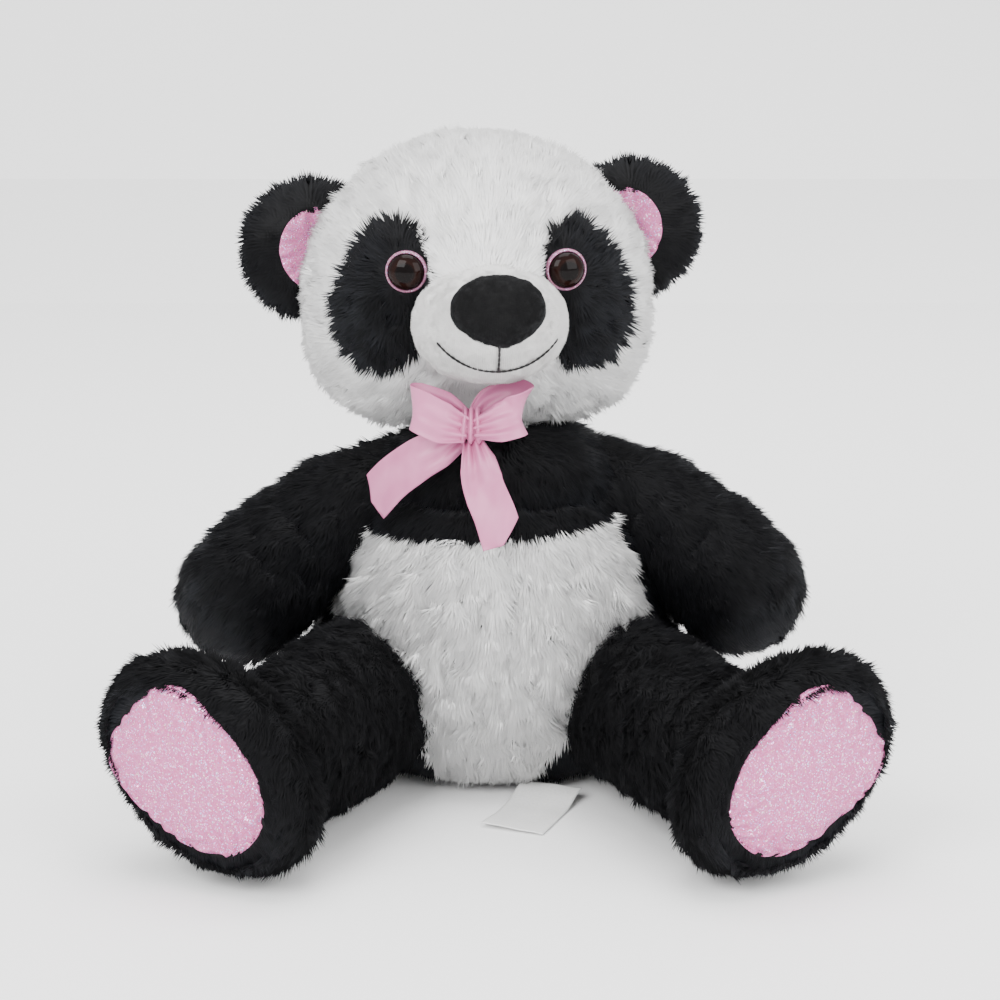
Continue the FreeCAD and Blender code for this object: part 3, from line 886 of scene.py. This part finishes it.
def footAxes(sign):
    yaw, lean = math.radians(leg["yaw"]), math.radians(leg["lean"])
    sole = Vector((math.sin(yaw) * sign, -math.cos(yaw), 0))
    level = Vector((math.cos(yaw) * sign, math.sin(yaw), 0))
    toes = level * math.sin(lean) + Vector((0, 0, math.cos(lean)))
    return sole, toes, sole.cross(toes)


def legForm(sign):
    sole, toes, across = footAxes(sign)
    turn = Matrix((across, sole, toes)).transposed()
    bm = limbForm(leg, sign)
    middle = mirrored(leg["foot"], sign)
    addEgg(bm, middle + sole * 9, (leg["footRadius"], leg["footRadius"], leg["footHalf"]), turn)
    root = mirrored(leg["stations"][0][0], sign)

    def seam(point):
        ahead = (point - middle).dot(sole)
        return point.z < 6 or ahead > leg["sole"] - 8 or abs((point - root).dot(across)) < seamHalf

    form = editable(coarseForm(bm, seam, leg["voxel"]))
    bmesh.ops.smooth_vert(form, verts=form.verts, factor=0.5, use_axis_x=True, use_axis_y=True,
                          use_axis_z=True)
    for vert in form.verts:        # the sole is flattened, and nothing goes under the floor
        ahead = (vert.co - middle).dot(sole)
        if ahead > leg["sole"] - 4:
            vert.co -= sole * (ahead - leg["sole"] + 4) * 0.75
        vert.co.z = max(vert.co.z, 2.5)
    return meshFrom(form, "leg")


pad = dict(halfLength=50.0, halfWidth=37.0, crown=7.5, puckers=19)


def padForm(sign):                 # a crowned cushion, gathered into its seam
    sole, toes, across = footAxes(sign)
    bm = bmesh.new()
    bmesh.ops.create_uvsphere(bm, u_segments=160, v_segments=72, radius=1)
    for vert in bm.verts:          # squarer than an ellipse
        flat = math.hypot(vert.co.x, vert.co.y)
        if flat > 1e-6:
            angle = math.atan2(vert.co.y, vert.co.x)
            power = 3.2 if angle > 0 else 2.3
            square = (abs(math.cos(angle)) ** power + abs(math.sin(angle)) ** power) ** (-1 / power)
            vert.co.x *= square * (1 + 0.10 * math.sin(angle) * flat)
            vert.co.y *= square
    for vert in bm.verts:
        flat = min(1.0, math.hypot(vert.co.x, vert.co.y))
        angle = math.atan2(vert.co.y, vert.co.x)
        gather = smoothStep(0.45, 0.97, flat) * (1.0 - 0.25 * math.sin(angle))
        ripple = math.sin(angle * pad["puckers"] + 2.5 * noise.noise(vert.co * 2.0) * 3)
        vert.co = Vector((vert.co.x * pad["halfWidth"], vert.co.y * pad["halfLength"],
                          vert.co.z * pad["crown"] + gather * ripple * 1.3))
        vert.co.z += 1.1 * noise.noise(vert.co / 16.0)
    turn = Matrix((across, toes, sole)).transposed()
    bmesh.ops.rotate(bm, cent=(0, 0, 0), matrix=turn, verts=bm.verts)
    place = mirrored(leg["foot"], sign) + sole * (leg["sole"] - 2.5)
    bmesh.ops.translate(bm, vec=place, verts=bm.verts)
    bmesh.ops.recalc_face_normals(bm, faces=bm.faces)
    return meshFrom(bm, "pad")


def legFlow(sign):
    way = limbWay(leg, sign).normalized()
    middle = mirrored(leg["foot"], sign)
    sole = footAxes(sign)[0]

    def flow(point):
        ahead = (point - middle).dot(sole)
        outward = flatten(point - middle, sole).normalized()
        return way + Vector((0, 0, -0.35)) + outward * 0.7 * smoothStep(5, 30, ahead)
    return flow


def padReach(away, across, toes):  # 1 at the edge of the foot pad
    return math.hypot(away.dot(across) / pad["halfWidth"], away.dot(toes) / pad["halfLength"])


def legLength(sign):
    sole, toes, across = footAxes(sign)
    middle = mirrored(leg["foot"], sign)

    def length(point):
        away = point - middle
        rim = 1.0
        if away.dot(sole) > leg["sole"] - 14:
            rim = smoothStep(0.95, 1.3, padReach(away, across, toes))
        return leg["pile"] * (0.35 + 0.65 * smoothStep(4.0, 16.0, point.z)) * (0.45 + 0.55 * rim)
    return length


def onSole(sign):
    sole, toes, across = footAxes(sign)
    middle = mirrored(leg["foot"], sign)

    def inside(point):
        away = point - middle
        return away.dot(sole) > leg["sole"] - 9 and padReach(away, across, toes) < 0.98
    return inside


for side, sign in sides.items():
    form = legForm(sign)
    coat = dict(flow=legFlow(sign), length=legLength(sign), stand=0.42, lie=0.85, curl=0.6, lockSize=10.0,
                seed=17, floor=0.7)
    way = limbWay(leg, sign)
    outward = Vector((-way.y, way.x, 0)).normalized()
    outward *= math.copysign(1, outward.x * sign)
    root = jointPlace("leg_raise_" + side)
    bare = onSole(sign)
    for node, half in (("leg_outer_fur_" + side, 1), ("leg_inner_fur_" + side, -1)):
        made = growFur(form, coat, lambda p: (p - root).dot(outward) * half >= 0 and not bare(p), root)
        piece = makePiece(made, node.replace("_fur_", "_pile_"), "leg_" + side, blackFur,
                          [node])
    piece = makePiece(padForm(sign), "sole_cushion_" + side, "leg_" + side, pinkGlitter,
                      ["foot_pad_" + side])
print("arms, legs and foot pads")


# the ribbon, its bow and the label

ribbon = dict(width=25.0, thickness=0.45, folds=3)


def curveAt(points, share):        # a smooth curve through the points
    total = len(points) - 1
    place = min(max(share, 0.0) * total, total - 1e-6)
    index = int(place)
    t = place - index
    b, c = points[index], points[index + 1]
    a = points[index - 1] if index else 2 * b - c
    d = points[index + 2] if index + 2 <= total else 2 * c - b
    return 0.5 * (2 * b + (c - a) * t + (2 * a - 5 * b + 4 * c - d) * t * t
                  + (3 * b - a - 3 * c + d) * t ** 3)


def between(values, share):
    place = min(max(share, 0.0) * (len(values) - 1), len(values) - 1 - 1e-6)
    index = int(place)
    return values[index] * (1 - place + index) + values[index + 1] * (place - index)


def ribbonForm(route, widths, wideWays, swell, seed, slant=0.0):
    # a strip laid along a route, gathered into folds wherever it is held narrower than it is
    points = [Vector(point) for point in route]
    wide = [Vector(way) for way in wideWays]
    length = sum((b - a).length for a, b in zip(points, points[1:]))
    bm = bmesh.new()
    bmesh.ops.create_grid(bm, x_segments=30, y_segments=max(24, round(length / 1.3)), size=1)
    marks = {vert: (vert.co.x, (vert.co.y + 1) / 2) for vert in bm.verts}
    for vert, (side, along) in marks.items():
        half = between(widths, along) / 2
        share = along * (1 + slant * side * ribbon["width"] / 2 / length)
        step = 0.004
        ahead = (curveAt(points, min(1, share + step)) - curveAt(points, share - step)).normalized()
        over = max(0.0, share - 1) * length
        here = curveAt(points, min(1, share)) + ahead * over
        across = flatten(between(wide, share), ahead).normalized()
        out = across.cross(ahead)
        ratio = ribbon["width"] / 2 / half
        deep = half / ribbon["folds"] / math.pi * math.sqrt(max(0.0, 2 * (ratio * ratio - 1)))
        wobble = noise.noise(Vector((side * 1.1, along * 2.6, seed))) * swell
        fold = deep * math.sin(math.pi * ribbon["folds"] * side + seed + 1.5 * along)
        vert.co = here + across * half * side + out * (min(deep, 2.4) / max(deep, 1e-6) * fold + wobble)
    weave = bm.loops.layers.uv.new("weave")
    for face in bm.faces:
        for loop in face.loops:
            side, along = marks[loop.vert]
            loop[weave].uv = (side * ribbon["width"] * 0.005, along * length * 0.01)
    return meshFrom(bm, "strip"), length


def ribbonPiece(name, body, node, held, route, widths, wideWays, **more):
    mesh, length = ribbonForm(route, widths, wideWays, **more)
    mesh = bake(mesh, [("SOLIDIFY", dict(thickness=ribbon["thickness"], offset=0.0))])
    piece = makePiece(mesh, name, body, pinkSatin, [node])
    print(name, "flat length", round(length), "mm")


def hoop(middle, halfX, halfY, halfZ, plane, count=13):
    turns = [2 * math.pi * step / (count - 1) for step in range(count)]
    if plane == "XY":
        return [Vector((middle[0] + halfX * math.sin(t), middle[1] + halfY * math.cos(t), middle[2]))
                for t in turns]
    return [Vector((middle[0], middle[1] + halfY * math.cos(t), middle[2] + halfZ * math.sin(t)))
            for t in turns]


bow = dict(knot=(-15, -92, 228), neck=(0, -1, 204.5), neckRadius=37)
neckRoute = hoop(bow["neck"], bow["neckRadius"], bow["neckRadius"], 0, "XY", 25)
ribbonPiece("neck_band", "torso", "neck_ribbon", "gathered", neckRoute, [9, 9], [(0, 0, 1), (0, 0, 1)],
            swell=0.6, seed=2)
knotRoute = hoop(bow["knot"], 0, 6.5, 9.5, "YZ")
ribbonPiece("knot_wrap", "torso", "bow_knot", "gathered", knotRoute, [13, 10, 15, 10],
            [(1, 0, 0.1), (1, 0, -0.1)], swell=0.8, seed=4)
ribbonPiece("loop_flat", "torso", "bow_loop_right", "folded",
            [(-17, -88, 228), (-31, -87, 235), (-45, -89, 239.5), (-48.5, -93, 239.5), (-45, -98, 237.5),
             (-31, -101, 231), (-17, -97, 226)],
            [13, 23, 25, 25, 25, 24, 14],
            [(0.05, 0.1, 1), (-0.05, 0.12, 1), (-0.05, 0.12, 1), (0.05, 0.1, 1)],
            swell=0.8, seed=1)
ribbonPiece("loop_open", "torso", "bow_loop_left", "folded",
            [(-13, -86, 229), (-3, -83, 237), (9, -85, 242), (15, -92, 240), (12, -102, 236), (1, -104, 232),
             (-13, -97, 227)],
            [12, 23, 25, 25, 25, 23, 12],
            [(-0.25, 0.2, 1), (0.15, 0.45, 0.85), (0.25, 0.45, 0.85), (-0.2, 0.3, 1)],
            swell=0.8, seed=6)
ribbonPiece("tail_slanting", "bow_tail_right", "bow_tail_right", "hung",
            [(-20, -88, 222), (-33, -90, 214), (-48, -88, 205), (-62, -82, 193), (-74, -74, 178)],
            [15, 23, 25, 25, 25], [(-0.5, 0.1, 0.87), (-0.63, 0.1, 0.78), (-0.60, 0.25, 0.78)],
            slant=-0.75, swell=1.6, seed=8)
ribbonPiece("tail_hanging", "bow_tail_left", "bow_tail_left", "hung",
            [(-14, -92, 219), (-11, -101, 207), (-8, -103, 194), (-1, -109, 178), (4, -114, 162)],
            [11, 21, 25, 25, 25], [(1, 0.1, 0.1), (1, -0.1, 0.25), (1, -0.05, 0.3)],
            slant=-0.95, swell=2.2, seed=9)

label = dict(width=38.0, length=68.0, thickness=0.3, root=(33, -86, 1.2), turn=-21.0)


def labelForm():
    bm = bmesh.new()
    bmesh.ops.create_grid(bm, x_segments=24, y_segments=40, size=0.5)
    for vert in bm.verts:
        ahead = 0.5 - vert.co.y
        lift = 5.5 * (1 - smoothStep(0.0, 0.45, ahead))
        curl = 2.2 * smoothStep(0.6, 1.0, ahead) * (0.5 - vert.co.x)
        ripple = 0.35 * noise.noise(vert.co * 3)
        vert.co = Vector((vert.co.x * label["width"], -ahead * label["length"], lift + curl + ripple))
    turn = Matrix.Rotation(math.radians(label["turn"]), 3, "Z")
    bmesh.ops.rotate(bm, cent=(0, 0, 0), matrix=turn, verts=bm.verts)
    bmesh.ops.translate(bm, vec=label["root"], verts=bm.verts)
    return bake(meshFrom(bm, "label"), [("SOLIDIFY", dict(thickness=label["thickness"], offset=0.0))])


piece = makePiece(labelForm(), "sewn_label", "label", whiteSatin, ["care_label"])
print("ribbon and label")


# the stuffing, the neck and the seam that closes the back

def addCore(node, body, build):
    bm = bmesh.new()
    build(bm)
    mesh = bake(meshFrom(bm, "core"), [
        ("REMESH", dict(mode="VOXEL", voxel_size=5.0, adaptivity=0.0)),
        ("SMOOTH", dict(factor=0.5, iterations=4)),
    ])
    makePiece(mesh, node + "_fill", body, fibreFill, [node])


def intoHead(point):
    return headPlace @ Vector(point)


addCore("torso_stuffing", "torso", lambda bm: addEgg(bm, (0, 0, 92), (88, 88, 84)))
neck = dict(middle=Vector((0, 0, 213)), radius=31.5, voxel=1.8, pile=9.0)
neckForm = bmesh.new()             # the head's white pile runs on over the neck
addEgg(neckForm, neck["middle"], [neck["radius"]] * 3)
neckCoat = dict(flow=torsoFlow, length=lambda p: neck["pile"], stand=0.35, lie=0.85, curl=0.6,
                lockSize=10.0, seed=23)
made = growFur(evenForm(neckForm, neck["voxel"]), neckCoat, None, neck["middle"])
makePiece(made, "neck_fur", "neck", whiteFur, ["neck_stuffing"])
addCore("head_stuffing", "head", lambda bm: addEgg(bm, headMiddle, (88, 70, 70)))
addCore("muzzle_stuffing", "head", lambda bm: addEgg(bm, intoHead(muzzle["middle"]), (38, 37, 28)))
addCore("nose_stuffing", "head", lambda bm: addEgg(bm, intoHead(nose["middle"]), (18, 12, 13)))
for side, sign in sides.items():
    addCore("ear_stuffing_" + side, "ear_" + side,
            lambda bm: addEgg(bm, intoHead(earMiddles[side] + Vector((0, 3, 0))), (27, 4.5, 27)))
    for limb, settings in (("arm", arm), ("leg", leg)):
        inner = [(mirrored(place, sign), radius - 9) for place, radius in settings["stations"]]
        addCore(limb + "_stuffing_" + side, limb + "_" + side, lambda bm: addLimb(bm, inner))


closing = dict(stitch=3.2, half=1.6, lift=0.6, thread=0.5)


def closingForm():                 # a ladder of short stitches up the back
    bm = bmesh.new()
    low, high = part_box("closing_stitches")
    bottom, top = low.z / metre, high.z / metre
    rows = []
    for step in range(int((top - bottom) / closing["stitch"])):
        z = bottom + closing["stitch"] * step
        bulge = math.sqrt(max(0.0, 1 - ((z - torso["middle"]) / torso["halfHeight"]) ** 2))
        x = closing["half"] if step % 2 else -closing["half"]
        rows.append(Vector((x, torso["radius"] * bulge + closing["lift"], z)))
    stitchRow(bm, rows, closing["thread"])
    return meshFrom(bm, "stitches")


makePiece(closingForm(), "closing_seam", "torso", darkThread, ["closing_stitches"])


def plainPlastic():
    material, tree, shader = newMaterial("eyePlastic")
    setInputs(shader, Roughness=0.5)
    shader.inputs["Base Color"].default_value = (0.62, 0.62, 0.62, 1)
    return material


eyePlastic = plainPlastic()
for side in sides:
    for part in ("eye_post_", "eye_washer_"):
        finishes = frame["nodes"][part + side].data.materials
        finishes.clear()
        finishes.append(eyePlastic)
print("stuffing, stitches and eye fittings")


# floor, light and camera

studio = dict(aim=(0.0018, -0.0446, 0.1716), rise=14.0, distance=1.7, lens=102.2)


def studioMaterial():
    material, tree, shader = newMaterial("paleFloor")
    shader.inputs["Base Color"].default_value = (0.95, 0.95, 0.95, 1)
    setInputs(shader, Roughness=0.9)
    return material


def sweepForm():                   # a floor that curves up into a backdrop
    bm = bmesh.new()
    profile = [(-4.0, 0.0), (1.6, 0.0), (2.1, 0.08), (2.4, 0.4), (2.5, 0.9), (2.5, 4.0)]
    verts = [bm.verts.new((-5, y, z)) for y, z in profile]
    edges = [bm.edges.new(pair) for pair in zip(verts, verts[1:])]
    made = bmesh.ops.extrude_edge_only(bm, edges=edges)["geom"]
    moved = [item for item in made if isinstance(item, bmesh.types.BMVert)]
    bmesh.ops.translate(bm, vec=(10, 0, 0), verts=moved)
    bmesh.ops.recalc_face_normals(bm, faces=bm.faces)
    return meshFrom(bm, "sweep")


floorMesh = sweepForm()
floorMesh.materials.append(studioMaterial())
floor = bpy.data.objects.new("floor", floorMesh)
bpy.context.collection.objects.link(floor)
lamps = [
    ("keyLamp", (-1.3, -1.9, 1.7), 1.6, 80.0),
    ("fillLamp", (1.6, -1.6, 1.1), 1.8, 50.0),
    ("topLamp", (0.0, 0.1, 2.2), 1.6, 46.0),
    ("backLamp", (0.9, 1.3, 1.4), 1.2, 10.0),
]
for name, spot, size, power in lamps:
    lamp = bpy.data.lights.new(name, "AREA")
    lamp.size = size
    lamp.energy = power
    holder = bpy.data.objects.new(name, lamp)
    holder.location = spot
    holder.rotation_euler = (Vector((0, -0.05, 0.18)) - Vector(spot)).to_track_quat("-Z", "Y").to_euler()
    bpy.context.collection.objects.link(holder)
world = bpy.data.worlds.new("paleRoom")
world.use_nodes = True
world.node_tree.nodes["Background"].inputs["Color"].default_value = (1, 1, 1, 1)
world.node_tree.nodes["Background"].inputs["Strength"].default_value = 1.3
bpy.context.scene.world = world

rise = math.radians(studio["rise"])
back = Vector((0, -math.cos(rise), math.sin(rise)))
lens = bpy.data.cameras.new("camera")
lens.lens = studio["lens"]
lens.sensor_width = 36
camera = bpy.data.objects.new("camera", lens)
camera.location = Vector(studio["aim"]) + back * studio["distance"]
camera.rotation_euler = (-back).to_track_quat("-Z", "Y").to_euler()
bpy.context.collection.objects.link(camera)
bpy.context.scene.camera = camera
